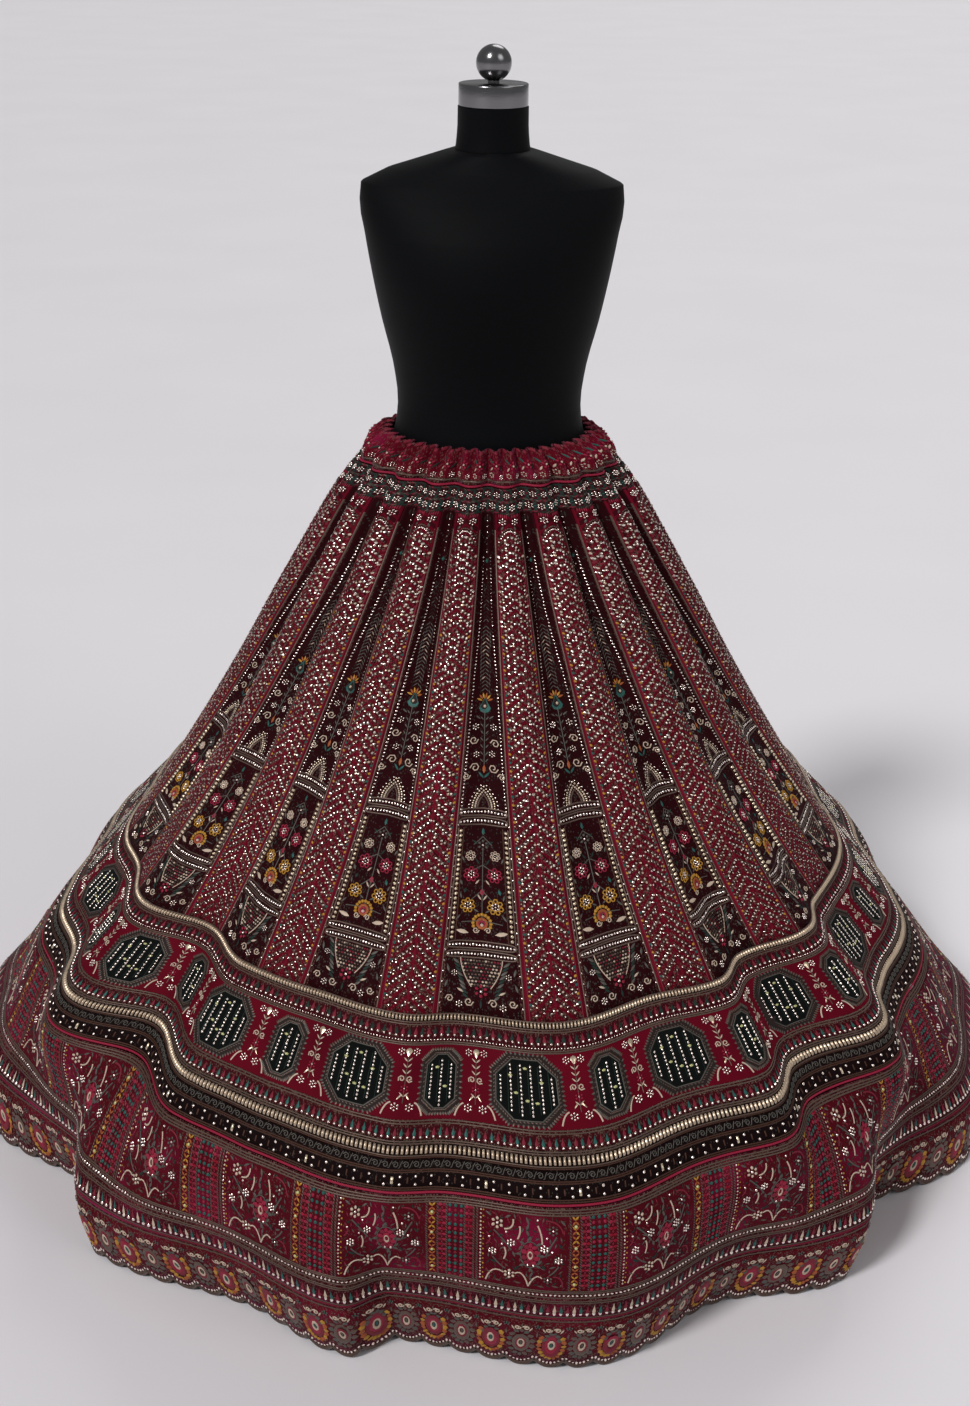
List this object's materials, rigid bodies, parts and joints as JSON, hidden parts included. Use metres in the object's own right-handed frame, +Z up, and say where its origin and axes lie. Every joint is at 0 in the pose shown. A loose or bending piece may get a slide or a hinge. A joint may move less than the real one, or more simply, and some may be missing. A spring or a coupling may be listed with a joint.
{
  "type": "lehenga skirt on a dress form",
  "caption": "Full-length flared lehenga skirt with embroidered gores, deep border, flounce and scalloped hem, standing on a limbless dress form with a round base.",
  "frame": {"origin": "centre of the underside of the dress form's base plate, on the floor", "axes": "+Z up along the form's pole, -Y to the front of the skirt, +X to the skirt's left seen by its wearer"},
  "size_m": [1.4823, 1.4337, 1.392],
  "materials": {
    "velvet": "deep crimson velvet with metallic thread, sequin and bead embroidery",
    "dark_velvet": "very dark maroon velvet with bead and thread embroidery",
    "chevron_embroidery": "crimson velvet covered with rows of silver sequins and antique gold thread",
    "piping": "bright pink satin piping",
    "form_cloth": "matt black stretch cloth",
    "form_chrome": "polished",
    "form_base": "satin black"
  },
  "bodies": {
    "root": {"waistband": "velvet", "waist_piping": "piping", "vase_gore_01": "dark_velvet", "chevron_gore_01": "chevron_embroidery", "vase_gore_02": "dark_velvet", "chevron_gore_02": "chevron_embroidery", "vase_gore_03": "dark_velvet", "chevron_gore_03": "chevron_embroidery", "vase_gore_04": "dark_velvet", "chevron_gore_04": "chevron_embroidery", "vase_gore_05": "dark_velvet", "chevron_gore_05": "chevron_embroidery", "vase_gore_06": "dark_velvet", "chevron_gore_06": "chevron_embroidery", "vase_gore_07": "dark_velvet", "chevron_gore_07": "chevron_embroidery", "vase_gore_08": "dark_velvet", "chevron_gore_08": "chevron_embroidery", "vase_gore_09": "dark_velvet", "chevron_gore_09": "chevron_embroidery", "vase_gore_10": "dark_velvet", "chevron_gore_10": "chevron_embroidery", "vase_gore_11": "dark_velvet", "chevron_gore_11": "chevron_embroidery", "vase_gore_12": "dark_velvet", "chevron_gore_12": "chevron_embroidery", "vase_gore_13": "dark_velvet", "chevron_gore_13": "chevron_embroidery", "vase_gore_14": "dark_velvet", "chevron_gore_14": "chevron_embroidery", "vase_gore_15": "dark_velvet", "chevron_gore_15": "chevron_embroidery", "vase_gore_16": "dark_velvet", "chevron_gore_16": "chevron_embroidery", "vase_gore_17": "dark_velvet", "chevron_gore_17": "chevron_embroidery", "vase_gore_18": "dark_velvet", "chevron_gore_18": "chevron_embroidery", "vase_gore_19": "dark_velvet", "chevron_gore_19": "chevron_embroidery", "vase_gore_20": "dark_velvet", "chevron_gore_20": "chevron_embroidery", "border_band": "velvet", "dark_band": "dark_velvet", "flounce_piping": "piping", "flounce": "velvet", "scalloped_border": "velvet", "form_torso": "form_cloth", "form_neck": "form_cloth", "form_neck_cap": "form_chrome", "form_ball": "form_chrome", "form_pole": "form_chrome", "form_base": "form_base"}
  },
  "joints": []
}
